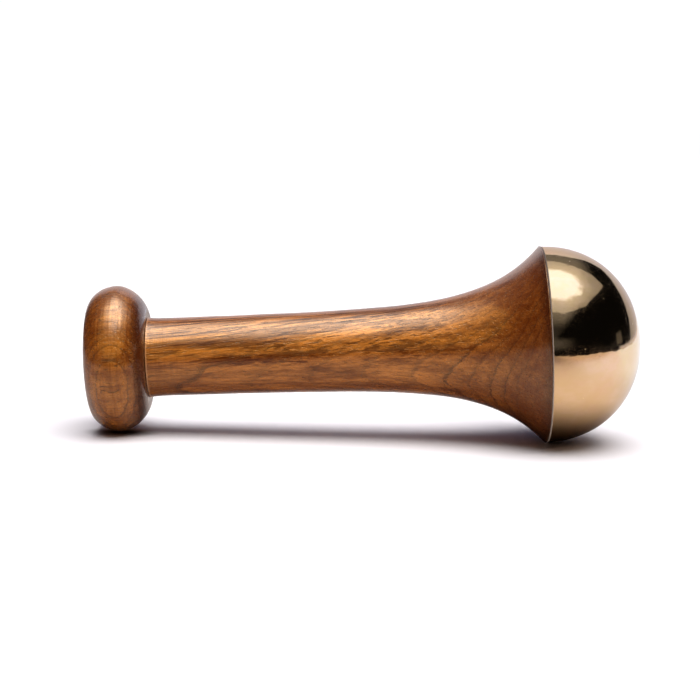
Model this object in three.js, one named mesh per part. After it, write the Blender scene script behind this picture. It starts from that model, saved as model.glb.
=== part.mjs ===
// Massage wand: a turned hardwood handle that flares out to a round rim, a hollow polished
// bronze dome bonded over the flared end, and a turned pommel glued on a tenon at the other.
//
// Units are millimetres. The wand lies along +X with +Z up, and the origin is the centre of
// the flat face that ends the pommel. A "station" is a distance along +X from that face.

import * as THREE from "three";

// Overall sizes
const OVERALL_LENGTH = 159.4;
const RIM_RADIUS = 28.5;
const DOME_RISE = 28;
const POMMEL_RADIUS = 21.1;
const POMMEL_THICKNESS = 16.8;

// Shaft, flare and rim of the handle
const SHAFT_RADIUS = 11.72;
const SHAFT_TAPER = 0.0043;
const FLARE_REACH = 15.4;
const COLLAR_RISE = 0.42;
const COLLAR_REACH = 2;
const EDGE_BREAK = 0.25;

// Pommel: a flat end face, a full round belly, and a small flat where the shaft meets it
const POMMEL_BELLY_STATION = 8.55;
const POMMEL_FACE_RADIUS = 14.2;
const POMMEL_NECK_RADIUS = 13;
const END_SHOULDER_FULLNESS = 2;
const NECK_SHOULDER_FULLNESS = 1.7;

// Tenon and blind socket that join pommel and handle
const TENON_RADIUS = 6;
const TENON_LENGTH = 9;
const TENON_CHAMFER = 0.8;
const TENON_GROOVE_DEPTH = 0.5;
const TENON_GROOVE_WIDTH = 1;
const SOCKET_END_ROOM = 1;
const DRILL_POINT_SLOPE = 0.6;
const GLUE_FILM = 0.4;

// Bronze dome, the resin bed under it and the wooden spigot that it sits on
const DOME_WALL = 2.2;
const DOME_FULLNESS = 2.1;
const DOME_EDGE_CHAMFER = 0.2;
const WOOD_PROUD_OF_DOME = 0.15;
const RESIN_BED = 0.8;

// Clearances
const SEAM = 0.3;
const FILM_CLEARANCE = 0.2;

// Facets
const SIDES = 48;
const DOME_STEPS = 10;
const SHOULDER_STEPS = 7;
const FLARE_STEPS = 18;
const COLLAR_STEPS = 3;
const COLLAR_LENGTH = 6;

// Worked out from the sizes above
const RIM_STATION = OVERALL_LENGTH - DOME_RISE;
const SHAFT_STATION = POMMEL_THICKNESS + SEAM;
const DOME_RADIUS = RIM_RADIUS - WOOD_PROUD_OF_DOME;
const RESIN_RADIUS = DOME_RADIUS - DOME_WALL - FILM_CLEARANCE;
const SPIGOT_RADIUS = RESIN_RADIUS - RESIN_BED - FILM_CLEARANCE;
const SOCKET_RADIUS = TENON_RADIUS + GLUE_FILM + 2 * FILM_CLEARANCE;
const SOCKET_BOTTOM = POMMEL_THICKNESS - TENON_LENGTH - SOCKET_END_ROOM;

// A profile point: a radius from the wand's axis, and a station along it.
function at(radius, station) {
  return new THREE.Vector2(radius, station);
}

// Turns a profile about the wand's axis. The profile runs towards +X along its outside, and
// both its ends are on the axis, so the result is one closed body that faces out.
function turned(name, profile, material) {
  const geometry = new THREE.LatheGeometry(profile, SIDES);
  geometry.rotateZ(-Math.PI / 2);
  const mesh = new THREE.Mesh(geometry, material);
  mesh.name = name;
  return mesh;
}

// A quarter of a superellipse at a share of its turn: 0 is its full height, 1 its full reach.
// A fullness of 2 is a plain ellipse, and a larger one is squarer.
function quarter(reach, height, fullness, share) {
  const angle = (share * Math.PI) / 2;
  const power = 2 / fullness;
  return { along: reach * Math.sin(angle) ** power, across: height * Math.cos(angle) ** power };
}

// A round cap on the rim plane, drawn from its widest radius to its tip on the axis. It has
// the dome's form, offset inwards to the radius given.
function cap(radius, firstStation) {
  const rise = DOME_RISE - (DOME_RADIUS - radius);
  const points = [];
  for (let step = 0; step < DOME_STEPS; step += 1) {
    const { along, across } = quarter(rise, radius, DOME_FULLNESS, step / DOME_STEPS);
    points.push(at(across, Math.max(RIM_STATION + along, firstStation)));
  }
  points.push(at(0, RIM_STATION + rise));
  return points;
}

// Radius of the handle's outside at a station. The flare fades by the same share over each
// equal length, and a slight collar swells the last few millimetres next to the pommel.
function handleRadius(station) {
  const behindRim = RIM_STATION - station;
  const rimRise = RIM_RADIUS - SHAFT_RADIUS + SHAFT_TAPER * EDGE_BREAK;
  const flare = rimRise * Math.exp((EDGE_BREAK - behindRim) / FLARE_REACH);
  const collar = COLLAR_RISE * Math.exp((SHAFT_STATION - station) / COLLAR_REACH);
  return SHAFT_RADIUS - SHAFT_TAPER * behindRim + flare + collar;
}

// Tenon with a chamfered end and a shallow ring groove that holds glue.
function tenonProfile() {
  const end = SHAFT_STATION - TENON_LENGTH;
  const groove = SHAFT_STATION - TENON_LENGTH / 2;
  const grooveFloor = TENON_RADIUS - TENON_GROOVE_DEPTH;
  return [
    at(0, end),
    at(TENON_RADIUS - TENON_CHAMFER, end),
    at(TENON_RADIUS, end + TENON_CHAMFER),
    at(TENON_RADIUS, groove - TENON_GROOVE_WIDTH),
    at(grooveFloor, groove - TENON_GROOVE_WIDTH / 2),
    at(grooveFloor, groove + TENON_GROOVE_WIDTH / 2),
    at(TENON_RADIUS, groove + TENON_GROOVE_WIDTH),
    at(TENON_RADIUS, SHAFT_STATION),
  ];
}

// Shaft from its shoulder to the rim's broken edge. Stations close up towards the rim, where
// the flare bends most.
function shaftProfile() {
  const first = SHAFT_STATION + EDGE_BREAK;
  const flareStart = first + COLLAR_LENGTH;
  const last = RIM_STATION - EDGE_BREAK;
  const points = [at(handleRadius(SHAFT_STATION) - EDGE_BREAK, SHAFT_STATION)];
  for (let step = 0; step < COLLAR_STEPS; step += 1) {
    const station = first + (COLLAR_LENGTH * step) / COLLAR_STEPS;
    points.push(at(handleRadius(station), station));
  }
  for (let step = FLARE_STEPS; step >= 0; step -= 1) {
    const station = last - (last - flareStart) * (step / FLARE_STEPS) ** 2;
    points.push(at(handleRadius(station), station));
  }
  points.push(at(RIM_RADIUS - EDGE_BREAK, RIM_STATION));
  return points;
}

// One piece of turned hardwood: tenon, shaft, flare, flat rim and the spigot under the dome.
function makeHandle() {
  const material = new THREE.MeshStandardMaterial({ color: 0x96602e, roughness: 0.28, metalness: 0 });
  const profile = [...tenonProfile(), ...shaftProfile(), ...cap(SPIGOT_RADIUS, RIM_STATION)];
  return turned("handle", profile, material);
}

// The knob at the end of the grip, with a drilled blind socket for the tenon.
function makePommel() {
  const material = new THREE.MeshStandardMaterial({ color: 0x9c6530, roughness: 0.26, metalness: 0 });
  const profile = [at(0, 0)];
  const endHeight = POMMEL_RADIUS - POMMEL_FACE_RADIUS;
  for (let step = SHOULDER_STEPS; step > 0; step -= 1) {
    const share = step / SHOULDER_STEPS;
    const { along, across } = quarter(POMMEL_BELLY_STATION, endHeight, END_SHOULDER_FULLNESS, share);
    profile.push(at(POMMEL_FACE_RADIUS + across, POMMEL_BELLY_STATION - along));
  }
  const neckHeight = POMMEL_RADIUS - POMMEL_NECK_RADIUS;
  const neckReach = POMMEL_THICKNESS - POMMEL_BELLY_STATION;
  for (let step = 0; step <= SHOULDER_STEPS; step += 1) {
    const share = step / SHOULDER_STEPS;
    const { along, across } = quarter(neckReach, neckHeight, NECK_SHOULDER_FULLNESS, share);
    profile.push(at(POMMEL_NECK_RADIUS + across, POMMEL_BELLY_STATION + along));
  }
  profile.push(
    at(SOCKET_RADIUS, POMMEL_THICKNESS),
    at(SOCKET_RADIUS, SOCKET_BOTTOM),
    at(0, SOCKET_BOTTOM - SOCKET_RADIUS * DRILL_POINT_SLOPE),
  );
  return turned("pommel", profile, material);
}

// A thimble of set glue that fills the ring between the tenon and its socket.
function makePommelGlue() {
  const material = new THREE.MeshStandardMaterial({ color: 0xb98d55, roughness: 0.45, metalness: 0 });
  const outer = SOCKET_RADIUS - FILM_CLEARANCE;
  const inner = TENON_RADIUS + FILM_CLEARANCE;
  const tenonEnd = SHAFT_STATION - TENON_LENGTH - FILM_CLEARANCE;
  const profile = [
    at(0, tenonEnd - GLUE_FILM),
    at(outer - TENON_CHAMFER, tenonEnd - GLUE_FILM),
    at(outer, tenonEnd - GLUE_FILM + TENON_CHAMFER),
    at(outer, POMMEL_THICKNESS),
    at(inner, POMMEL_THICKNESS),
    at(inner, tenonEnd + TENON_CHAMFER),
    at(inner - TENON_CHAMFER, tenonEnd),
    at(0, tenonEnd),
  ];
  return turned("pommel_glue", profile, material);
}

// A hollow shell in the dome's form, between two radii, open at the rim. Its outer edge has a
// chamfer where one is asked for.
function shell(innerRadius, outerRadius, firstStation, chamfer) {
  const inside = cap(innerRadius, firstStation).reverse();
  const outside = cap(outerRadius, firstStation + chamfer);
  const edge = chamfer > 0 ? [at(outerRadius - chamfer, firstStation)] : [];
  return [...inside, ...edge, ...outside];
}

// The polished bronze bowl that closes the wand's working end.
function makeDome() {
  const material = new THREE.MeshStandardMaterial({ color: 0xd9b184, roughness: 0.1, metalness: 1 });
  const profile = shell(DOME_RADIUS - DOME_WALL, DOME_RADIUS, RIM_STATION + SEAM, DOME_EDGE_CHAMFER);
  return turned("dome", profile, material);
}

// The bed of resin that bonds the dome to the spigot.
function makeDomeResin() {
  const material = new THREE.MeshStandardMaterial({ color: 0x3b2416, roughness: 0.4, metalness: 0 });
  const profile = shell(RESIN_RADIUS - RESIN_BED, RESIN_RADIUS, RIM_STATION + SEAM, 0);
  return turned("dome_resin", profile, material);
}

const wand = new THREE.Group();
wand.name = "wand";
wand.add(makeHandle(), makePommel(), makePommelGlue(), makeDome(), makeDomeResin());

export default wand;
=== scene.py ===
"""Looks of a turned hardwood massage wand with a polished bronze dome.

Metres, in the CAD frame: +X runs along the wand from the flat face of its pommel, and +Z is
up. A "station" is a distance along +X from that face. Every shown piece is a fine turned mesh
that stands for one CAD node.
"""

import math

import bpy
import numpy as np
from mathutils import Matrix, Vector


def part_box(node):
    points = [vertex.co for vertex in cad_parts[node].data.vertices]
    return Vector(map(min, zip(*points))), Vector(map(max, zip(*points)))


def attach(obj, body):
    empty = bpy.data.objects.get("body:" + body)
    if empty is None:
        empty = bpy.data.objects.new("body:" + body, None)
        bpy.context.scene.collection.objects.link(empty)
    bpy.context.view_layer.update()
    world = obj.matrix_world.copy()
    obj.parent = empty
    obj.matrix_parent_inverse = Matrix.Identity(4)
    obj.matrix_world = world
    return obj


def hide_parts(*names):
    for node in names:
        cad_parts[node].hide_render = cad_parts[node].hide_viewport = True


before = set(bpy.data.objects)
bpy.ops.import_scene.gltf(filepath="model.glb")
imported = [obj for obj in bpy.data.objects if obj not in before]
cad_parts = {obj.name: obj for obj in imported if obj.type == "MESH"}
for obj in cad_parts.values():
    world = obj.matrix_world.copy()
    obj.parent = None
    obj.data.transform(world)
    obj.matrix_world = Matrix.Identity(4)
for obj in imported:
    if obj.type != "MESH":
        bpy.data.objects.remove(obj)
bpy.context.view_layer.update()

MM = 0.001

# ---------------------------------------------------------------------------
# Sizes, from the frame where it gives them
# ---------------------------------------------------------------------------

handle_low, handle_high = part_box("handle")
_, pommel_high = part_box("pommel")
glue_low, glue_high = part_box("pommel_glue")
dome_low, dome_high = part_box("dome")
_, resin_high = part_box("dome_resin")

# The CAD leaves the same clearance at the rim and at the joint. Both are shown almost closed.
SEAM = 0.3 * MM
SHOWN_SEAM = 0.12 * MM
SHOWN_JOINT = 0.06 * MM

RIM_STATION = dome_low.x - SEAM
RIM_RADIUS = handle_high.z
DOME_RADIUS = dome_high.z
DOME_TIP = dome_high.x
SHAFT_STATION = pommel_high.x + SEAM
POMMEL_RADIUS = pommel_high.z
TENON_END = handle_low.x
SPIGOT_TIP = handle_high.x
RESIN_RADIUS = resin_high.z
RESIN_TIP = resin_high.x

# Shaft, flare and collar of the handle
SHAFT_RADIUS = 11.72 * MM
SHAFT_TAPER = 0.0043
FLARE_REACH = 15.4 * MM
COLLAR_RISE = 0.42 * MM
COLLAR_REACH = 2 * MM
EDGE_BREAK = 0.25 * MM

# Pommel
POMMEL_BELLY_STATION = 8.55 * MM
POMMEL_FACE_RADIUS = 14.2 * MM
POMMEL_NECK_RADIUS = 13 * MM
END_SHOULDER_FULLNESS = 2.0
NECK_SHOULDER_FULLNESS = 1.7

# Tenon, glue and socket
TENON_RADIUS = 6 * MM
TENON_CHAMFER = 0.8 * MM
GLUE_FILM = 0.4 * MM
FILM_CLEARANCE = 0.2 * MM
SOCKET_RADIUS = TENON_RADIUS + GLUE_FILM + 2 * FILM_CLEARANCE
SOCKET_ROOM = 1.3 * MM
SOCKET_BOTTOM = TENON_END - SOCKET_ROOM
DRILL_POINT_SLOPE = 0.6

# Dome and resin
DOME_WALL = 2.2 * MM
DOME_CHAMFER = 0.32 * MM
DOME_FULLNESS = 2.1
RESIN_BED = 0.8 * MM

# Rounding of edges
FINE_ROUNDING = 0.1 * MM
TENON_ROUNDING = 0.15 * MM
INNER_ROUNDING = 0.2 * MM
RIM_ROUNDING = 0.22 * MM
LIP_ROUNDING = 0.34 * MM
DOME_ROUNDING = 0.06 * MM

# Unevenness of the turned surfaces: slow hand-made waves, and the tool's low rings. The
# handle's rings are deepest over a short length of its shaft next to the joint.
HANDLE_WAVES = 0.05 * MM
POMMEL_WAVES = 0.06 * MM
DOME_WAVES = 0.02 * MM
SHAFT_RINGS = 0.006 * MM
POMMEL_RINGS = 0.008 * MM
RINGED_LENGTH = 13 * MM
RINGS_ELSEWHERE = 0.15

# Sides of each turned mesh
SIDES = 224
RESIN_SIDES = 128
GLUE_SIDES = 96


# ---------------------------------------------------------------------------
# Turned meshes
# ---------------------------------------------------------------------------

def quarter(reach, height, fullness, share):
    """A quarter superellipse at a share of its turn: (distance along, height left)."""
    angle = share * math.pi / 2
    power = 2 / fullness
    return reach * math.sin(angle) ** power, height * max(math.cos(angle), 0.0) ** power


def round_corners(corners, steps=6):
    """A profile of (station, radius) from corners of (station, radius, rounding).

    Each rounded corner is a short curve, with one more point on either side that keeps the
    flats next to it flat under smooth shading.
    """
    def just_past(flat, rounding):
        return flat.normalized() * min(rounding * 1.3, flat.length * 0.8)

    points = []
    for index, (station, radius, rounding) in enumerate(corners):
        here = Vector((station, radius))
        if rounding == 0 or index in (0, len(corners) - 1):
            points.append(here)
            continue
        before = Vector(corners[index - 1][:2]) - here
        after = Vector(corners[index + 1][:2]) - here
        start = here + before.normalized() * rounding
        end = here + after.normalized() * rounding
        points.append(here + just_past(before, rounding))
        for step in range(steps + 1):
            share = step / steps
            points.append(start.lerp(here, share).lerp(here.lerp(end, share), share))
        points.append(here + just_past(after, rounding))
    return [tuple(point) for point in points]


def wander(stations, angles, seed, size, waves=9, most_lobes=5, reach=30 * MM):
    """Slight hand-made unevenness of a turned surface, in metres, over a grid."""
    rng = np.random.default_rng(seed)
    total = np.zeros((len(stations), len(angles)))
    for _ in range(waves):
        lobes = rng.integers(0, most_lobes + 1)
        phase, shift = rng.uniform(0, 2 * math.pi, 2)
        length = reach * rng.uniform(0.5, 1.5)
        along_axis = np.sin(stations / length * 2 * math.pi + shift)
        total += np.outer(along_axis, np.cos(lobes * angles + phase)) / math.sqrt(waves)
    return total * size


def turning_ripple(stations, seed, size, waves=6, gap=0.9 * MM):
    """Low rings that the turner's tool left, as a change of radius at each station."""
    rng = np.random.default_rng(seed)
    total = np.zeros(len(stations))
    for _ in range(waves):
        length = gap * rng.uniform(0.7, 1.6)
        total += np.sin(stations / length * 2 * math.pi + rng.uniform(0, 6))
    return total * (size / math.sqrt(waves))


def spin(name, profile, unevenness=None, sides=SIDES):
    """Turns a closed profile of (station, radius) about the wand's axis, facing outwards.

    The profile starts and ends on the axis. unevenness gives a change of radius at each
    station and angle, and fades out towards the axis.
    """
    stations, radii = np.array(profile).T
    angles = np.arange(sides) * (2 * math.pi / sides)
    rings_x, rings_r = stations[1:-1], radii[1:-1]
    radius_grid = np.repeat(rings_r[:, None], sides, axis=1)
    if unevenness is not None:
        fade = rings_r / (rings_r + 1 * MM)
        radius_grid = radius_grid + unevenness(rings_x, angles) * fade[:, None]
    grid = np.stack([
        np.repeat(rings_x[:, None], sides, axis=1),
        radius_grid * np.cos(angles),
        radius_grid * np.sin(angles),
    ], axis=-1).reshape(-1, 3)
    vertices = np.vstack([[stations[0], 0, 0], grid, [stations[-1], 0, 0]])

    ring_count = len(rings_x)
    last = len(vertices) - 1
    turn = [(int(side), int(side + 1) % sides) for side in range(sides)]
    faces = [(0, 1 + b, 1 + a) for a, b in turn]
    for ring in range(ring_count - 1):
        first, second = 1 + ring * sides, 1 + (ring + 1) * sides
        faces += [(first + a, first + b, second + b, second + a) for a, b in turn]
    end = 1 + (ring_count - 1) * sides
    faces += [(end + a, end + b, last) for a, b in turn]

    mesh = bpy.data.meshes.new(name)
    mesh.from_pydata(vertices.tolist(), [], faces)
    mesh.polygons.foreach_set("use_smooth", [True] * len(mesh.polygons))
    mesh.update()
    piece = bpy.data.objects.new(name, mesh)
    bpy.context.scene.collection.objects.link(piece)
    return piece


def cap(radius, tip, start, steps):
    """Profile of the dome's form, from its widest radius at the rim plane to its tip.

    Points nearer to the rim plane than start are left out.
    """
    points = []
    for step in range(steps + 1):
        forward, across = quarter(tip - RIM_STATION, radius, DOME_FULLNESS, step / steps)
        if forward >= start:
            points.append((RIM_STATION + forward, across))
    points[-1] = (tip, 0.0)
    return points


def handle_radius(station):
    """Radius of the handle's outside: a long taper, an exponential flare and a collar."""
    behind_rim = RIM_STATION - station
    rim_rise = RIM_RADIUS - SHAFT_RADIUS + SHAFT_TAPER * EDGE_BREAK
    flare = rim_rise * math.exp((EDGE_BREAK - behind_rim) / FLARE_REACH)
    collar = COLLAR_RISE * math.exp((SHAFT_STATION - station) / COLLAR_REACH)
    return SHAFT_RADIUS - SHAFT_TAPER * behind_rim + flare + collar


def shaft_stations(start, end, ringed_end, ringed_steps=75, flare_steps=190, crowding=1.25):
    """Stations along the shaft: even where it is ringed, then closing up towards the rim."""
    evenly = np.linspace(start, ringed_end, ringed_steps, endpoint=False)
    crowded = 1 - np.linspace(1, 0, flare_steps) ** crowding
    return np.concatenate([evenly, ringed_end + (end - ringed_end) * crowded])


def make_handle():
    """One turned piece: tenon, shaft, flare, flat rim and the spigot under the dome."""
    spigot_radius = RESIN_RADIUS - RESIN_BED - FILM_CLEARANCE
    lip_radius = handle_radius(SHAFT_STATION) + 0.03 * MM
    lip_end = SHAFT_STATION + 0.9 * MM
    profile = round_corners([
        (TENON_END, 0.0, 0.0),
        (TENON_END, TENON_RADIUS - TENON_CHAMFER, TENON_ROUNDING),
        (TENON_END + TENON_CHAMFER, TENON_RADIUS, TENON_ROUNDING),
        (SHAFT_STATION, TENON_RADIUS, FINE_ROUNDING),
        (SHAFT_STATION, lip_radius, LIP_ROUNDING),
        (lip_end, handle_radius(lip_end), 0.0),
    ])

    start, end = SHAFT_STATION + 1 * MM, RIM_STATION - EDGE_BREAK
    ringed_end = start + RINGED_LENGTH
    stations = shaft_stations(start, end, ringed_end)
    fading = np.clip((ringed_end - stations) / RINGED_LENGTH, 0, 1) + RINGS_ELSEWHERE
    rings = turning_ripple(stations, 31, SHAFT_RINGS) * fading
    profile += [(x, handle_radius(x) + ring) for x, ring in zip(stations, rings)]

    profile += round_corners([
        (end, handle_radius(end), 0.0),
        (RIM_STATION, RIM_RADIUS + 0.02 * MM, RIM_ROUNDING),
        (RIM_STATION, spigot_radius, INNER_ROUNDING),
        (RIM_STATION + 1 * MM, spigot_radius * 0.9985, 0.0),
    ])[1:]
    profile += cap(spigot_radius, SPIGOT_TIP, start=1.5 * MM, steps=60)
    return spin("handle_turned", profile, lambda x, a: wander(x, a, 11, HANDLE_WAVES))


def make_pommel():
    """The knob: a flat end, a full round belly, and a blind drilled socket."""
    end_height = POMMEL_RADIUS - POMMEL_FACE_RADIUS
    neck_height = POMMEL_RADIUS - POMMEL_NECK_RADIUS
    neck_station = SHAFT_STATION - SHOWN_JOINT
    neck_reach = neck_station - POMMEL_BELLY_STATION
    steps = 80
    curve = []
    for step in range(steps, 0, -1):
        back, across = quarter(POMMEL_BELLY_STATION, end_height, END_SHOULDER_FULLNESS,
                               step / steps)
        curve.append((POMMEL_BELLY_STATION - back, POMMEL_FACE_RADIUS + across))
    for step in range(steps):
        forward, across = quarter(neck_reach, neck_height, NECK_SHOULDER_FULLNESS, step / steps)
        curve.append((POMMEL_BELLY_STATION + forward, POMMEL_NECK_RADIUS + across))
    stations = np.array([station for station, _ in curve])
    rings = turning_ripple(stations, 47, POMMEL_RINGS) * np.clip(stations / (1 * MM), 0, 1)

    profile = [(0.0, share * POMMEL_FACE_RADIUS) for share in (0.0, 0.5, 0.97)]
    profile += [(station, radius + ring) for (station, radius), ring in zip(curve, rings)]
    profile += round_corners([
        (neck_station - 0.02 * MM, POMMEL_NECK_RADIUS + 0.1 * MM, 0.0),
        (neck_station, POMMEL_NECK_RADIUS - 0.3 * MM, FINE_ROUNDING),
        (neck_station, SOCKET_RADIUS, INNER_ROUNDING),
        (SOCKET_BOTTOM, SOCKET_RADIUS, INNER_ROUNDING),
        (SOCKET_BOTTOM - SOCKET_RADIUS * DRILL_POINT_SLOPE, 0.0, 0.0),
    ])
    return spin("pommel_turned", profile,
                lambda x, a: wander(x, a, 23, POMMEL_WAVES, most_lobes=3))


def make_dome():
    """The polished bronze bowl, with a small chamfer round its open edge."""
    first = RIM_STATION + SHOWN_SEAM
    inner_radius = DOME_RADIUS - DOME_WALL
    inner = cap(inner_radius, DOME_TIP - DOME_WALL, start=2 * MM, steps=70)
    edge = round_corners([
        (*inner[0], 0.0),
        (first, inner_radius, FINE_ROUNDING),
        (first, DOME_RADIUS - DOME_CHAMFER, DOME_ROUNDING),
        (first + DOME_CHAMFER, DOME_RADIUS, DOME_ROUNDING),
        (first + 0.8 * MM, DOME_RADIUS, 0.0),
    ], steps=4)
    outer = cap(DOME_RADIUS, DOME_TIP, start=1.2 * MM, steps=130)
    return spin(
        "dome_polished", inner[::-1][:-1] + edge[:-1] + outer,
        lambda x, a: wander(x, a, 5, DOME_WAVES, waves=14, most_lobes=9, reach=22 * MM),
    )


def make_resin():
    """The bed of resin between spigot and dome."""
    first = RIM_STATION + SEAM
    inner_radius = RESIN_RADIUS - RESIN_BED
    inner = cap(inner_radius, RESIN_TIP - RESIN_BED, start=1.5 * MM, steps=50)
    edge = round_corners([
        (*inner[0], 0.0),
        (first, inner_radius, FINE_ROUNDING),
        (first, RESIN_RADIUS, FINE_ROUNDING),
        (first + 1 * MM, RESIN_RADIUS, 0.0),
    ])
    outer = cap(RESIN_RADIUS, RESIN_TIP, start=1.5 * MM, steps=50)
    return spin("dome_resin_bed", inner[::-1][:-1] + edge[:-1] + outer, sides=RESIN_SIDES)


def make_glue():
    """The thimble of glue between tenon and socket."""
    outer = SOCKET_RADIUS - FILM_CLEARANCE
    inner = TENON_RADIUS + FILM_CLEARANCE
    tenon_face = TENON_END - FILM_CLEARANCE
    profile = round_corners([
        (glue_low.x, 0.0, 0.0),
        (glue_low.x, outer - TENON_CHAMFER, FINE_ROUNDING),
        (glue_low.x + TENON_CHAMFER, outer, FINE_ROUNDING),
        (glue_high.x, outer, FINE_ROUNDING),
        (glue_high.x, inner, FINE_ROUNDING),
        (tenon_face + TENON_CHAMFER, inner, FINE_ROUNDING),
        (tenon_face, inner - TENON_CHAMFER, FINE_ROUNDING),
        (tenon_face, 0.0, 0.0),
    ])
    return spin("pommel_glue_film", profile, sides=GLUE_SIDES)


# ---------------------------------------------------------------------------
# Shader arithmetic
# ---------------------------------------------------------------------------

class Value:
    """An output of a shader node. Arithmetic on it adds math nodes to the same tree."""

    def __init__(self, graph, socket):
        self.graph = graph
        self.socket = socket

    def __add__(self, other):
        return self.graph.math("ADD", self, other)

    def __sub__(self, other):
        return self.graph.math("SUBTRACT", self, other)

    def __rsub__(self, other):
        return self.graph.math("SUBTRACT", other, self)

    def __mul__(self, other):
        return self.graph.math("MULTIPLY", self, other)

    def __truediv__(self, other):
        return self.graph.math("DIVIDE", self, other)

    def __pow__(self, other):
        return self.graph.math("POWER", self, other)

    __radd__ = __add__


class Graph:
    """A node tree that is written as arithmetic."""

    def __init__(self, tree):
        self.tree = tree
        tree.nodes.clear()

    def feed(self, socket, value):
        """Links a value to a socket, or sets the socket's own number."""
        if isinstance(value, Value):
            self.tree.links.new(value.socket, socket)
        else:
            socket.default_value = value

    def add(self, kind, inputs=None, **settings):
        """A new node, with its settings and inputs."""
        node = self.tree.nodes.new("ShaderNode" + kind)
        for key, value in settings.items():
            setattr(node, key, value)
        for key, value in (inputs or {}).items():
            self.feed(node.inputs[key], value)
        return node

    def out(self, node, name=0):
        """One output of a node, by name or number."""
        return Value(self, node.outputs[name])

    def end_in(self, node, output, inputs):
        """Ends the tree in a node of one kind, joined to an output node of another."""
        last = self.add(node, inputs)
        self.tree.links.new(last.outputs[0], self.add(output).inputs["Surface"])

    def math(self, operation, *values):
        """The result of one math node."""
        return self.out(self.add("Math", dict(enumerate(values)), operation=operation))

    def larger(self, first, second):
        """The larger of two values."""
        return self.math("MAXIMUM", first, second)

    def size_of(self, value):
        """A value without its sign."""
        return self.math("ABSOLUTE", value)

    def smooth(self, value, low, high, first=0.0, last=1.0):
        """Eases from first to last as value goes from low to high."""
        inputs = {"Value": value, "From Min": low, "From Max": high, "To Min": first, "To Max": last}
        return self.out(self.add("MapRange", inputs, interpolation_type="SMOOTHSTEP"))

    def vector(self, x, y, z):
        """A vector of three values."""
        return self.out(self.add("CombineXYZ", {0: x, 1: y, 2: z}))

    def split(self, vector):
        """The three parts of a vector."""
        node = self.add("SeparateXYZ", {0: vector})
        return [self.out(node, axis) for axis in range(3)]

    def noise(self, vector, detail=2.0, roughness=0.5, distortion=0.0):
        """Smooth noise, from 0 to 1, that changes over about one unit of the vector."""
        inputs = {"Vector": vector, "Scale": 1.0, "Detail": detail, "Roughness": roughness,
                  "Distortion": distortion}
        return self.out(self.add("TexNoise", inputs), "Fac")

    def mix(self, share, first, second):
        """Mixes two colours."""
        node = self.add("Mix", data_type="RGBA")
        self.feed(node.inputs["Factor"], share)
        self.feed(node.inputs[6], first if isinstance(first, Value) else (*first, 1.0))
        self.feed(node.inputs[7], second if isinstance(second, Value) else (*second, 1.0))
        return Value(self, node.outputs[2])

    def bump(self, height, distance, normal=None):
        """A normal bent by a height of up to distance, on top of another normal if given."""
        inputs = {"Height": height, "Distance": distance}
        if normal is not None:
            inputs["Normal"] = normal
        return self.out(self.add("Bump", inputs))

    def millimetres(self):
        """The shaded point's x, y and z, in millimetres in its object's own frame."""
        position = self.out(self.add("TexCoord"), "Object")
        return [part * 1000.0 for part in self.split(position)]


def new_material(name):
    """A material and the arithmetic of its empty tree."""
    material = bpy.data.materials.new(name)
    material.use_nodes = True
    return material, Graph(material.node_tree)


# ---------------------------------------------------------------------------
# Materials
# ---------------------------------------------------------------------------

# Colours of the darker features of the wood, and of its one paler one, which is a painted highlight
# The soaked colour is end grain's stain, and also painted shade on the lower side.
SOAKED_AND_SHADED_WOOD = (0.085, 0.017, 0.0014)
LATE_WOOD = (0.068, 0.013, 0.001)
RING_LINE = (0.050, 0.009, 0.0006)
DARK_STREAK = (0.045, 0.007, 0.0004)
HAIRLINE = (0.055, 0.009, 0.0007)
PORE = (0.045, 0.008, 0.0008)
FLECK = (0.020, 0.004, 0.001)
TURNING_MARK = (0.085, 0.018, 0.0012)
# The gathered colour is stain at a turned edge, and painted shade in the crease there.
STAIN_AND_PAINTED_SHADE = (0.036, 0.0055, 0.001)
LIP_HIGHLIGHT_COLOUR = (0.38, 0.19, 0.10)

WOOD_IOR = 1.8
WOOD_SHEEN = (1.0, 0.53, 0.18, 1.0)
VARNISH_IOR = 1.37

# How far the grain wanders sideways, and over what distances, in millimetres
WANDER = 4.0
WANDER_LENGTH = 80
WANDER_WIDTH = 20

PALE_BRONZE = (0.85, 0.61, 0.385)
DEEP_BRONZE = (0.80, 0.545, 0.315)
YELLOW_BRONZE = (0.80, 0.575, 0.300)
FILED_BRONZE = (0.42, 0.34, 0.29)
SCRATCH_DIRECTIONS = (0.3, 1.1, 1.9, 2.7)


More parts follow.
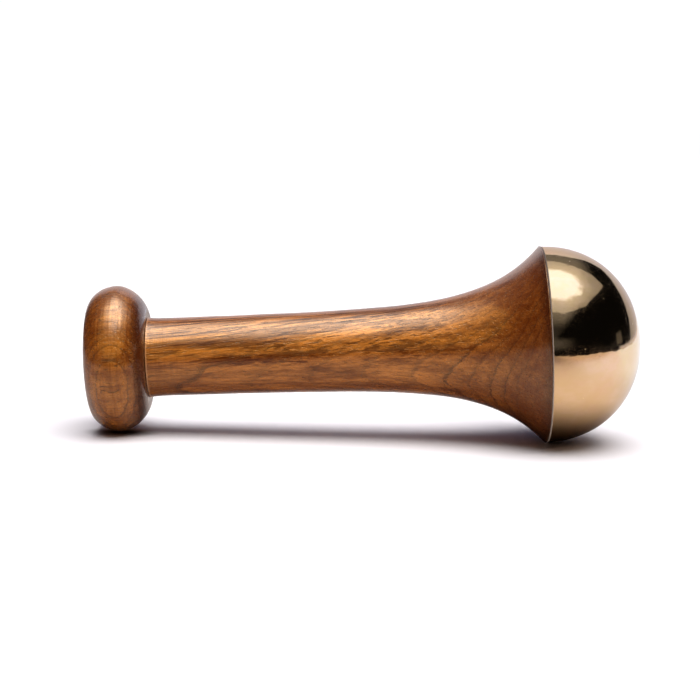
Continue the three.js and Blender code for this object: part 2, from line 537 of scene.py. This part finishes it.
def wood(name, pith, lean, ring_gap, seed, light, dark, streaked, turning, flecked, soak,
         dark_edge, lip_highlight):
    """Varnished hardwood, cut from a solid three-dimensional pattern with its grain along x.

    Lengths are in millimetres. pith is where the tree's centre line crosses the plane x = 0,
    lean is how far it moves sideways for each millimetre along the wand, and ring_gap is the
    width of a growth ring. light and dark are the wood's own colours. streaked and flecked are
    the amounts of dark streaks and of flecks. turning is the two ends of the length with
    turning marks and their amount at each. soak is how far the surface has to turn across the
    grain before it starts to drink more stain and until it drinks most, and that most. Over
    dark_edge the stain gathers and shade is painted into the crease, and over lip_highlight a
    painted highlight on the rounded lip ends.
    """
    material, graph = new_material(name)
    x, y, z = graph.millimetres()
    pith_v, pith_w = pith
    lean_v, lean_w = lean
    soak_start, soak_full, soak_most = soak

    # The grain leans and wanders sideways along the wand. Every layer of the figure follows it.
    def wander_sideways(shift):
        point = graph.vector(x / WANDER_LENGTH + shift, y / WANDER_WIDTH, z / WANDER_WIDTH)
        return (graph.noise(point, detail=1) - 0.5) * WANDER

    v = y - x * lean_v + wander_sideways(seed)
    w = z - x * lean_w + wander_sideways(-seed)

    def streaks(length, width, shift=0.0, detail=2.0, roughness=0.5):
        """Noise drawn out along the grain. Each layer has its own shift."""
        point = graph.vector(x / length + (seed + shift), v / width, w / width)
        return graph.noise(point, detail, roughness)

    # Growth rings: distance from the pith, counted in rings.
    from_pith = ((v - pith_v) ** 2.0 + (w - pith_w) ** 2.0) ** 0.5
    ripple = (streaks(14, 4.5, 2.0, detail=3) - 0.5) * (ring_gap * 0.7)
    ring = (from_pith + ripple) / ring_gap
    across_ring = graph.math("FRACT", ring)
    ring_number = graph.math("FLOOR", ring) + seed
    random = graph.add("TexWhiteNoise", {"W": ring_number}, noise_dimensions="1D")
    strength = graph.smooth(graph.out(random, "Value"), 0.1, 0.8, 0.35, 1.0)

    # The body of the wood, from broad bands to single fibres.
    bands = streaks(60, 3.0, 0.0, detail=3)
    strands = streaks(28, 0.85, 5.0, detail=3, roughness=0.65)
    fibres = streaks(12, 0.30, 9.0, detail=2, roughness=0.6)

    # How far the surface turns across the grain: 0 along it, 1 on end grain.
    normal_x, _, _ = graph.split(graph.out(graph.add("TexCoord"), "Normal"))
    across_grain = graph.size_of(normal_x)
    end_grain = graph.smooth(across_grain, 0.6, 0.97)

    # Each ring darkens slowly towards its late wood, and ends in a dark line, broken but for
    # the end grain.
    late = graph.smooth(across_ring, 0.3, 0.9) * graph.smooth(across_ring, 0.94, 1.0, 1.0, 0.0)
    unbroken = graph.larger(graph.smooth(strands, 0.30, 0.48), end_grain)
    line = (graph.smooth(across_ring, 0.80, 0.90) * graph.smooth(across_ring, 0.95, 1.0, 1.0, 0.0)
            * unbroken * strength)

    # The upper half is strongly figured and the lower half plainer, with a wavy border between
    # them. Where the surface turns across the grain, it is plainer too.
    bold = (graph.smooth(z + (bands - 0.5) * 14.0, -5.0, 4.0, 0.25, 1.0) * streaked
            * graph.smooth(across_grain, 0.04, 0.34, 1.0, 0.30))
    tone = bands * 0.46 + strands * 0.34 + fibres * 0.20
    spread = graph.smooth(bold, 0.0, 1.0, 0.20, 0.09) + end_grain * 0.20
    depth = graph.smooth(tone, 0.5 - spread, spread + 0.5)
    colour = graph.mix(depth, light, dark)

    # End grain drinks more stain, and is painted darker below than on the upper side as shade.
    soaked_and_shaded = (graph.smooth(across_grain, soak_start, soak_full, 0.0, soak_most)
              * graph.smooth(strands, 0.3, 0.6, 0.80, 1.0)
              * graph.smooth(z, -12.0, 12.0, 1.0, 0.75))
    colour = graph.mix(soaked_and_shaded, colour, SOAKED_AND_SHADED_WOOD)

    # Late wood, dark streaks, hairlines, ring lines, pores and flecks, one over another.
    colour = graph.mix(late * strength * (end_grain * 0.30 + 0.45), colour, LATE_WOOD)
    dark_streak = graph.smooth(streaks(44, 0.60, 13.0, detail=3, roughness=0.6), 0.545, 0.585)
    colour = graph.mix(dark_streak * bold * 0.92, colour, DARK_STREAK)
    hair = graph.smooth(streaks(15, 0.24, 27.0, detail=1), 0.60, 0.66)
    colour = graph.mix(hair * bold * 0.60, colour, HAIRLINE)
    colour = graph.mix(line * 0.90, colour, RING_LINE)
    pores = graph.smooth(streaks(2.8, 0.26, 17.0, detail=1, roughness=0.4), 0.60, 0.70)
    colour = graph.mix(pores * (bold * 0.30 + 0.15), colour, PORE)
    flecks = graph.smooth(streaks(4.5, 0.50, 21.0, detail=0), 0.705, 0.745)
    colour = graph.mix(flecks * flecked, colour, FLECK)

    # Turning marks: fine and broad rings that the tool left.
    near = graph.smooth(x, *turning)
    fine = graph.noise(graph.vector(x / 0.42 + seed, y / 7, z / 7), detail=2, roughness=0.6)
    broad = graph.noise(graph.vector(x / 1.3 - seed, y / 9, z / 9), detail=1)
    marks = fine * 0.5 + broad * 0.5
    ringed = near * graph.smooth(marks, 0.42, 0.64)
    colour = graph.mix(ringed, colour, TURNING_MARK)

    # Stain and varnish that gathered along a turned edge, with painted shade in its crease, and a
    # painted highlight on a paler corner at the lip.
    stain_and_shade = graph.smooth(x, *dark_edge) ** 1.4
    colour = graph.mix(stain_and_shade * 0.9, colour, STAIN_AND_PAINTED_SHADE)
    painted_lip_highlight = graph.smooth(x, *lip_highlight, 1.0, 0.0) * graph.smooth(strands, 0.30, 0.55, 0.35, 0.8)
    colour = graph.mix(painted_lip_highlight, colour, LIP_HIGHLIGHT_COLOUR)

    # Pale wood shines gold through the varnish, and dark wood much less.
    shine = (graph.smooth(depth, 0.0, 1.0, 1.0, 0.35) * (1.0 - dark_streak * bold * 0.8)
             * (1.0 - ringed * 0.5) * (1.0 - soaked_and_shaded * 0.4))

    # The wood's own surface under the varnish, and the varnish's, which is smoother.
    grain = fibres * 0.5 + strands * 0.5 - pores * 0.35 - flecks * 0.8
    swell = graph.noise(graph.vector(x / 5, y / 3, z / 3), detail=2)
    under = graph.bump(grain, 0.08 * MM)
    under = graph.bump(marks * near, 0.06 * MM, under)
    varnish = graph.bump(swell, 0.035 * MM)
    varnish = graph.bump(grain, 0.020 * MM, varnish)
    varnish = graph.bump(marks * near, 0.036 * MM, varnish)
    graph.end_in("BsdfPrincipled", "OutputMaterial", {
        "Base Color": colour,
        "Roughness": graph.smooth(fibres, 0.3, 0.7, 0.25, 0.36),
        "IOR": WOOD_IOR,
        "Specular IOR Level": shine,
        "Specular Tint": WOOD_SHEEN,
        "Normal": under,
        "Coat Weight": 1.0,
        "Coat Roughness": graph.smooth(bands, 0.3, 0.7, 0.05, 0.10),
        "Coat IOR": VARNISH_IOR,
        "Coat Normal": varnish,
    })
    return material


def bronze():
    """Mirror-polished bronze with hairline scratches, small pits and a filed open edge."""
    material, graph = new_material("polished_bronze")
    x, y, z = graph.millimetres()

    def noise(width, depth=None, detail=2.0, roughness=0.5):
        """Noise of one width along x and y, and of a depth along z that may differ."""
        point = graph.vector(x / width, y / width, z / (depth or width))
        return graph.noise(point, detail, roughness)

    cloud = noise(7, detail=4)
    blotch = noise(4, 2.2, detail=3, roughness=0.6)
    colour = graph.mix(graph.smooth(cloud, 0.3, 0.7), PALE_BRONZE, DEEP_BRONZE)
    colour = graph.mix(graph.smooth(blotch, 0.35, 0.65, 0.0, 0.6), colour, YELLOW_BRONZE)

    scratches = 0.0
    for turn in SCRATCH_DIRECTIONS:
        lengthwise = y * math.cos(turn) + z * math.sin(turn) + x * 0.4
        across = z * math.cos(turn) - y * math.sin(turn)
        hair = graph.noise(graph.vector(lengthwise / 6, across / 0.09, x / 0.12), detail=1)
        scratches = graph.smooth(hair, 0.70, 0.78) + scratches

    # One cell in three has a pit at its centre.
    cells = graph.add("TexVoronoi", {"Vector": graph.vector(x / 2.2, y / 2.2, z / 2.2), "Scale": 1.0})
    random = graph.out(graph.add("SeparateColor", {"Color": graph.out(cells, "Color")}))
    pits = (graph.smooth(graph.out(cells, "Distance"), 0.05, 0.11, 1.0, 0.0)
            * graph.smooth(random, 0.66, 0.67))

    # The open edge's chamfer is filed and left unpolished.
    chamfer_end = (RIM_STATION + SHOWN_SEAM + DOME_CHAMFER) / MM
    filed = graph.smooth(x, chamfer_end - 0.08, chamfer_end + 0.04, 1.0, 0.0)
    colour = graph.mix(filed, colour, FILED_BRONZE)

    normal = graph.bump(noise(5), 0.06 * MM)
    normal = graph.bump(noise(1.1), 0.008 * MM, normal)
    normal = graph.bump(scratches * -0.4 - pits, 0.01 * MM, normal)
    graph.end_in("BsdfPrincipled", "OutputMaterial", {
        "Base Color": colour,
        "Metallic": 1.0 - filed * 0.85,
        "Roughness": graph.smooth(cloud, 0.3, 0.75, 0.03, 0.06) + pits * 0.3 + filed * 0.45,
        "Normal": normal,
    })
    return material


def adhesive(name, light, dark, roughness):
    """Set resin or glue: mottled, with tiny bubbles and a slight unevenness."""
    material, graph = new_material(name)
    x, y, z = graph.millimetres()
    cloud = graph.noise(graph.vector(x / 2, y / 2, z / 2), detail=4, distortion=0.5)
    bubbles = graph.add("TexVoronoi", {"Vector": graph.vector(x, y, z), "Scale": 1.0})
    specks = graph.smooth(graph.out(bubbles, "Distance"), 0.08, 0.16, 1.0, 0.0)
    colour = graph.mix(graph.smooth(cloud, 0.3, 0.7), light, dark)
    graph.end_in("BsdfPrincipled", "OutputMaterial", {
        "Base Color": graph.mix(specks * 0.4, colour, dark),
        "Roughness": graph.smooth(cloud, 0.3, 0.7, roughness, roughness + 0.2),
        "Normal": graph.bump(cloud - specks * 0.5, 0.05 * MM),
    })
    return material


# ---------------------------------------------------------------------------
# The wand
# ---------------------------------------------------------------------------

def place(piece, node, material):
    """Gives a piece its material, ties it to the wand's one body and hides the CAD node it stands
    for.
    """
    piece.data.materials.append(material)
    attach(piece, "root")
    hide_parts(node)


rim_mm = RIM_STATION / MM
joint_mm = SHAFT_STATION / MM

handle_wood = wood(
    "handle_wood",
    pith=(24.0, 15.0),
    lean=(0.080, 0.050),
    ring_gap=2.1,
    seed=3.7,
    light=(0.295, 0.089, 0.011),
    dark=(0.062, 0.0095, 0.0004),
    streaked=1.0,
    turning=(joint_mm + 6, joint_mm + 18, 0.42, 0.06),
    flecked=0.35,
    soak=(0.14, 0.60, 0.95),
    dark_edge=(rim_mm - 3.4, rim_mm - 0.2),
    lip_highlight=(joint_mm + 0.30, joint_mm + 0.70),
)
pommel_wood = wood(
    "pommel_wood",
    pith=(25.0, 12.0),
    lean=(0.03, 0.04),
    ring_gap=1.6,
    seed=9.1,
    light=(0.245, 0.075, 0.008),
    dark=(0.078, 0.014, 0.0007),
    streaked=0.12,
    turning=(joint_mm, joint_mm + 20, 0.60, 0.60),
    flecked=0.9,
    soak=(0.45, 1.0, 0.6),
    dark_edge=(joint_mm - 4.4, joint_mm - 1.4),
    lip_highlight=(-1.0, -0.5),  # none: it ends before the wood starts
)
wood_glue = adhesive("set_wood_glue", (0.62, 0.40, 0.16), (0.42, 0.23, 0.08), 0.4)
resin = adhesive("set_resin", (0.06, 0.026, 0.012), (0.03, 0.012, 0.006), 0.25)

handle, pommel, dome = make_handle(), make_pommel(), make_dome()
place(handle, "handle", handle_wood)
place(pommel, "pommel", pommel_wood)
place(make_glue(), "pommel_glue", wood_glue)
place(dome, "dome", bronze())
place(make_resin(), "dome_resin", resin)


# ---------------------------------------------------------------------------
# Studio: the wand lies on a pale floor that touches its pommel and its rim
# ---------------------------------------------------------------------------

FLOOR_CLEARANCE = 0.03 * MM

# The floor's colour outside mirror reflections, and a glow that only diffuse rays see
FLOOR_SEEN = (0.90, 0.90, 1.0)
FLOOR_GLOW = 0.65
FLOOR_GLOW_COLOUR = (1.0, 0.93, 0.86, 1.0)

# Lamps: spreads in degrees, and the key light's middle as a point on the plane overhead
KEY_STRENGTH = 9.0
KEY_SPREAD = 90
KEY_MIDDLE = (0.14, -0.11)
KEY_COLOUR = (1.0, 0.95, 0.86, 1.0)
SOFT_SPREAD = 100

# Brightness and tints of what the varnish and the bronze mirror, and the camera's own white
SOFTBOX_EDGE = 0.36
SOFTBOX_MIDDLE = 1.05
SOFTBOX_HALO = 0.16
SOFTBOX_MIDDLE_TINT = (0.80, 0.93, 1.15)
LEFT_BACKDROP_TINT = (1.08, 0.94, 0.93)
RIGHT_BACKDROP_TINT = (0.99, 0.99, 1.12)
LOW_GLOW = 0.07
WINDOW = 0.09
BELOW_HORIZON = 0.32
DARK_ROOM = 0.003
SEEN_BY_CAMERA = 1.02

# Camera: angles in degrees, lens and sensor in millimetres
CAMERA_DISTANCE = 527.1 * MM
CAMERA_AIM = (75.5 * MM, 0, 0.2 * MM)
CAMERA_ELEVATION = 8.0
CAMERA_HEADING = -0.2
CAMERA_ROLL = -1.484
CAMERA_LENS = 93.3
CAMERA_SENSOR = 36

# The floor's own directions, and its frame, whose origin is where it touches the rim
tilt = math.atan2(RIM_RADIUS - POMMEL_RADIUS, RIM_STATION - POMMEL_BELLY_STATION)
up = Vector((math.sin(tilt), 0, math.cos(tilt)))
along = Vector((math.cos(tilt), 0, -math.sin(tilt)))
away = Vector((0, 1, 0))
studio = Matrix((along, away, up)).transposed().to_4x4()
studio.translation = Vector((RIM_STATION, 0, 0)) - up * (RIM_RADIUS + FLOOR_CLEARANCE)


def make_floor():
    """A pale table top. Its left, near and right edges show only in mirror reflections."""
    left, right, front, back = -0.40, 0.56, -0.30, 3.0
    mesh = bpy.data.meshes.new("floor")
    corners = [(left, front, 0), (right, front, 0), (right, back, 0), (left, back, 0)]
    mesh.from_pydata(corners, [], [(0, 1, 2, 3)])
    floor = bpy.data.objects.new("floor", mesh)
    floor.matrix_world = studio
    bpy.context.scene.collection.objects.link(floor)

    # In mirror reflections it is bright just in front of the wand, and dims from there towards
    # its near edge. Behind the wand it is dimmer on the left and a little brighter on the
    # right. These tones are painted light falloff and shade, which only reflections show. It is
    # dark where the rim rests on it, a painted shadow.
    material, graph = new_material("pale_floor")
    x, y, _ = graph.millimetres()
    to_right = graph.smooth(x, 0.0, 110.0)
    front_tone = graph.mix(to_right, (0.17, 0.135, 0.140), (0.50, 0.410, 0.360))
    near_tone = graph.mix(to_right, (0.62, 0.560, 0.54), (0.72, 0.710, 0.88))
    back_tone = graph.mix(to_right, (0.42, 0.38, 0.38), (0.74, 0.82, 1.0))
    mirrored = graph.mix(graph.smooth(y, -200.0, -35.0), front_tone, near_tone)
    mirrored = graph.mix(graph.smooth(y, -30.0, 20.0), mirrored, back_tone)
    from_contact = (x ** 2.0 + (y - 3.0) ** 2.0) ** 0.5
    painted_rim_shadow = graph.smooth(from_contact, 8.0, 40.0, 0.70, 0.0)
    mirrored = graph.mix(painted_rim_shadow, mirrored, (0.03, 0.01, 0.006))

    # Where the pommel presses on it, next to no light gets in, so the camera sees a painted shade
    # there. The shade is an oval, and its middle is a little nearer than the contact.
    pressed = studio.inverted() @ Vector((POMMEL_BELLY_STATION, 0, -POMMEL_RADIUS)) / MM
    from_pressed = (((x - pressed.x) / 1.4) ** 2.0 + (y + 3.5) ** 2.0) ** 0.5
    painted_contact_shade = graph.smooth(from_pressed, 1.5, 9.0, 0.97, 0.0)
    seen = graph.mix(painted_contact_shade, FLOOR_SEEN, (0.0, 0.0, 0.0))
    path = graph.add("LightPath")
    graph.end_in("BsdfPrincipled", "OutputMaterial", {
        "Base Color": graph.mix(graph.out(path, "Is Glossy Ray"), seen, mirrored),
        "Roughness": 0.6,
        "Specular IOR Level": 0.0,
        "Emission Color": FLOOR_GLOW_COLOUR,
        "Emission Strength": graph.out(path, "Is Diffuse Ray") * FLOOR_GLOW,
    })
    mesh.materials.append(material)


def eight_sided(graph, x, y, middle_x, middle_y):
    """Distance from a middle point, as an octagon measures it."""
    off_x, off_y = graph.size_of(x - middle_x), graph.size_of(y - middle_y)
    return graph.larger(graph.larger(off_x, off_y), (off_x + off_y) * 0.7071)


def on_ceiling(x, y, z):
    """Where a direction meets a plane overhead at height 1: (plane x, plane y)."""
    above = z.graph.larger(z, 0.02)
    return x / above, y / above


def parts_along(graph, direction, axes):
    """The parts of a direction along each axis."""
    parts = []
    for axis in axes:
        node = graph.add("VectorMath", {0: direction, 1: tuple(axis)}, operation="DOT_PRODUCT")
        parts.append(graph.out(node, "Value"))
    return parts


def make_sun(name, towards, strength, spread):
    """A sun lamp with a broad disc, in the direction given."""
    lamp = bpy.data.lights.new(name, "SUN")
    lamp.energy = strength
    lamp.angle = math.radians(spread)
    light = bpy.data.objects.new(name, lamp)
    light.rotation_euler = towards.to_track_quat("Z", "Y").to_euler()
    bpy.context.scene.collection.objects.link(light)
    return light


def link_light(light, pieces):
    """Makes a lamp light only the pieces given, and returns their collection."""
    receivers = bpy.data.collections.new("linked_to_" + light.name)
    for piece in pieces:
        receivers.objects.link(piece)
    light.light_linking.receiver_collection = receivers
    return receivers


def make_key_light():
    """The softbox as the wood and the floor take its light.

    The varnish shows it brightly and the bronze much dimmer, next to the white floor. So this
    lamp lights all but the dome, and the dome mirrors the softbox in the world.
    """
    towards = along * KEY_MIDDLE[0] + away * KEY_MIDDLE[1] + up
    light = make_sun("key_light", towards, KEY_STRENGTH, KEY_SPREAD)
    light.data.use_nodes = True
    graph = Graph(light.data.node_tree)
    facing = graph.out(graph.add("NewGeometry"), "Normal")
    plane_x, plane_y = on_ceiling(*parts_along(graph, facing, (-along, -away, -up)))
    off_middle = eight_sided(graph, plane_x, plane_y, *KEY_MIDDLE)
    level = graph.smooth(off_middle, 0.28, 0.80, 1.0, 0.05)
    graph.end_in("Emission", "OutputLight", {"Color": KEY_COLOUR, "Strength": level})

    # A linked piece that is excluded leaves the lamp to light everything else.
    left_out = link_light(light, [dome])
    left_out.collection_objects[0].light_linking.link_state = "EXCLUDE"


def make_soft_light(name, towards, strength, colour, lit=(), mirrored=False):
    """A broad lamp, for some pieces or for all, that may or may not show in reflections."""
    light = make_sun(name, towards, strength, SOFT_SPREAD)
    light.data.color = colour
    light.visible_glossy = mirrored
    if lit:
        link_light(light, lit)


def make_world():
    """The studio round the wand, as the varnish and the bronze mirror it.

    A softbox hangs almost overhead, and a pale backdrop stands behind. The rest of the room is
    dark but for a low glow in front, on the left, and a small window on the right. The camera
    itself sees plain white.
    """
    world = bpy.data.worlds.new("studio")
    bpy.context.scene.world = world
    world.use_nodes = True
    world.cycles_visibility.diffuse = False
    graph = Graph(world.node_tree)
    direction = graph.out(graph.add("TexCoord"), "Generated")
    x, y, z = parts_along(graph, direction, (along, away, up))

    # Softbox: a slanted box with one corner cut off, a hot middle with eight crumpled sides
    # and a halo round that. The ceiling about it catches a faint spill.
    plane_x, plane_y = on_ceiling(x, y, z)
    above_floor = graph.smooth(z, 0.03, 0.08)
    off_x = (plane_x - plane_y * 0.2 - 0.30) * 1.2
    off_y = plane_y + 0.19
    border = graph.larger(graph.size_of(off_x), graph.size_of(off_y))
    border = graph.larger(border, (off_x - off_y) * 0.7)
    in_box = graph.smooth(border, 0.78, 0.83, 1.0, 0.0) * above_floor
    crumple = (graph.noise(graph.vector(plane_x * 3, plane_y * 3, 0.0), detail=2) - 0.5) * 0.20
    from_middle = eight_sided(graph, plane_x, plane_y, 0.20, -0.12) + crumple
    hot = graph.smooth(from_middle, 0.32, 0.46, 1.0, 0.0)
    halo = graph.smooth(from_middle, 0.45, 0.75, SOFTBOX_HALO, 0.0)
    softbox = in_box * (SOFTBOX_EDGE + hot * SOFTBOX_MIDDLE + halo)
    spill = (graph.smooth(from_middle, 0.8, 1.9, 0.19, 0.025) * above_floor
             * graph.smooth(plane_x, 0.4, 0.8, 1.0, 0.0))

    # Backdrop: the height of its top edge changes in three steps from left to right.
    behind = graph.larger(y, 0.02)
    slope, side = z / behind, x / behind
    top = (graph.smooth(side, 0.30, 0.55, 0.45, 0.0) + graph.smooth(side, 0.9, 2.0, 0.47, 0.0)
           - graph.smooth(side, -0.2, 0.15, 0.20, 0.0))
    in_backdrop = (graph.smooth(slope - top, -0.06, 0.03, 1.0, 0.0) * graph.smooth(y, 0.04, 0.10)
                   * graph.smooth(side, -0.66, -0.34))
    backdrop = in_backdrop * graph.smooth(side, 0.2, 1.7, 0.64, 0.30)

    # Low in the room: a glow in front, a window on the right, and what lies behind it beyond
    # the edge of the floor.
    low_glow = (graph.smooth(z, 0.0, 0.10) * graph.smooth(z, 0.16, 0.28, 1.0, 0.0)
                * graph.smooth(x, 0.2, 0.55, 1.0, 0.0) * graph.smooth(y, -0.6, -0.3, LOW_GLOW, 0.0))
    window = (graph.smooth(graph.size_of(y - 0.07), 0.07, 0.12, WINDOW, 0.0)
              * graph.smooth(graph.size_of(z - 0.10), 0.05, 0.09, 1.0, 0.0)
              * graph.smooth(x, 0.5, 0.6))
    beyond = (graph.smooth(z, -0.04, 0.0, BELOW_HORIZON, 0.0) * graph.smooth(y, 0.02, 0.10)
              * graph.smooth(x, 0.3, 0.6))

    mirrored = softbox + spill + backdrop + low_glow + window + beyond + DARK_ROOM
    seen = graph.out(graph.add("LightPath"), "Is Camera Ray")
    level = mirrored * (1.0 - seen) + seen * SEEN_BY_CAMERA
    tint = graph.mix(in_box * hot, (1.0, 1.0, 1.0), SOFTBOX_MIDDLE_TINT)
    backdrop_tint = graph.mix(graph.smooth(side, -0.1, 0.5), LEFT_BACKDROP_TINT,
                              RIGHT_BACKDROP_TINT)
    tint = graph.mix(in_backdrop, tint, backdrop_tint)
    tint = graph.mix(seen, tint, (1.0, 1.0, 1.0))
    graph.end_in("Background", "OutputWorld", {"Color": tint, "Strength": level})


def make_camera():
    """A long lens, low in front of the wand. Seen from behind it, a negative roll turns it
    anticlockwise.
    """
    elevation, heading = math.radians(CAMERA_ELEVATION), math.radians(CAMERA_HEADING)
    level_look = along * math.sin(heading) + away * math.cos(heading)
    look = level_look * math.cos(elevation) - up * math.sin(elevation)
    right = look.cross(up).normalized()
    upright = right.cross(look)
    rolled = Matrix.Rotation(math.radians(CAMERA_ROLL), 3, look)
    right, upright = rolled @ right, rolled @ upright
    camera = bpy.data.objects.new("camera", bpy.data.cameras.new("camera"))
    bpy.context.scene.collection.objects.link(camera)
    pose = Matrix((right, upright, -look)).transposed().to_4x4()
    pose.translation = Vector(CAMERA_AIM) - look * CAMERA_DISTANCE
    camera.matrix_world = pose
    camera.data.sensor_width = CAMERA_SENSOR
    camera.data.lens = CAMERA_LENS
    camera.data.clip_start = 0.01
    bpy.context.scene.camera = camera


make_floor()
make_key_light()
from_behind = up * 0.9 + away * 0.5
from_front = up * 0.80 - away * 0.60
make_soft_light("backdrop_fill", from_behind, 0.42, (0.50, 0.62, 1.0))
make_soft_light("front_fill", from_front, 1.8, (1.0, 0.67, 0.18), (handle, pommel), mirrored=True)
make_soft_light("edge_fill", from_front, 2.0, (1.0, 1.0, 1.0), (dome,))
make_world()
make_camera()
bpy.context.scene.view_settings.view_transform = "Standard"
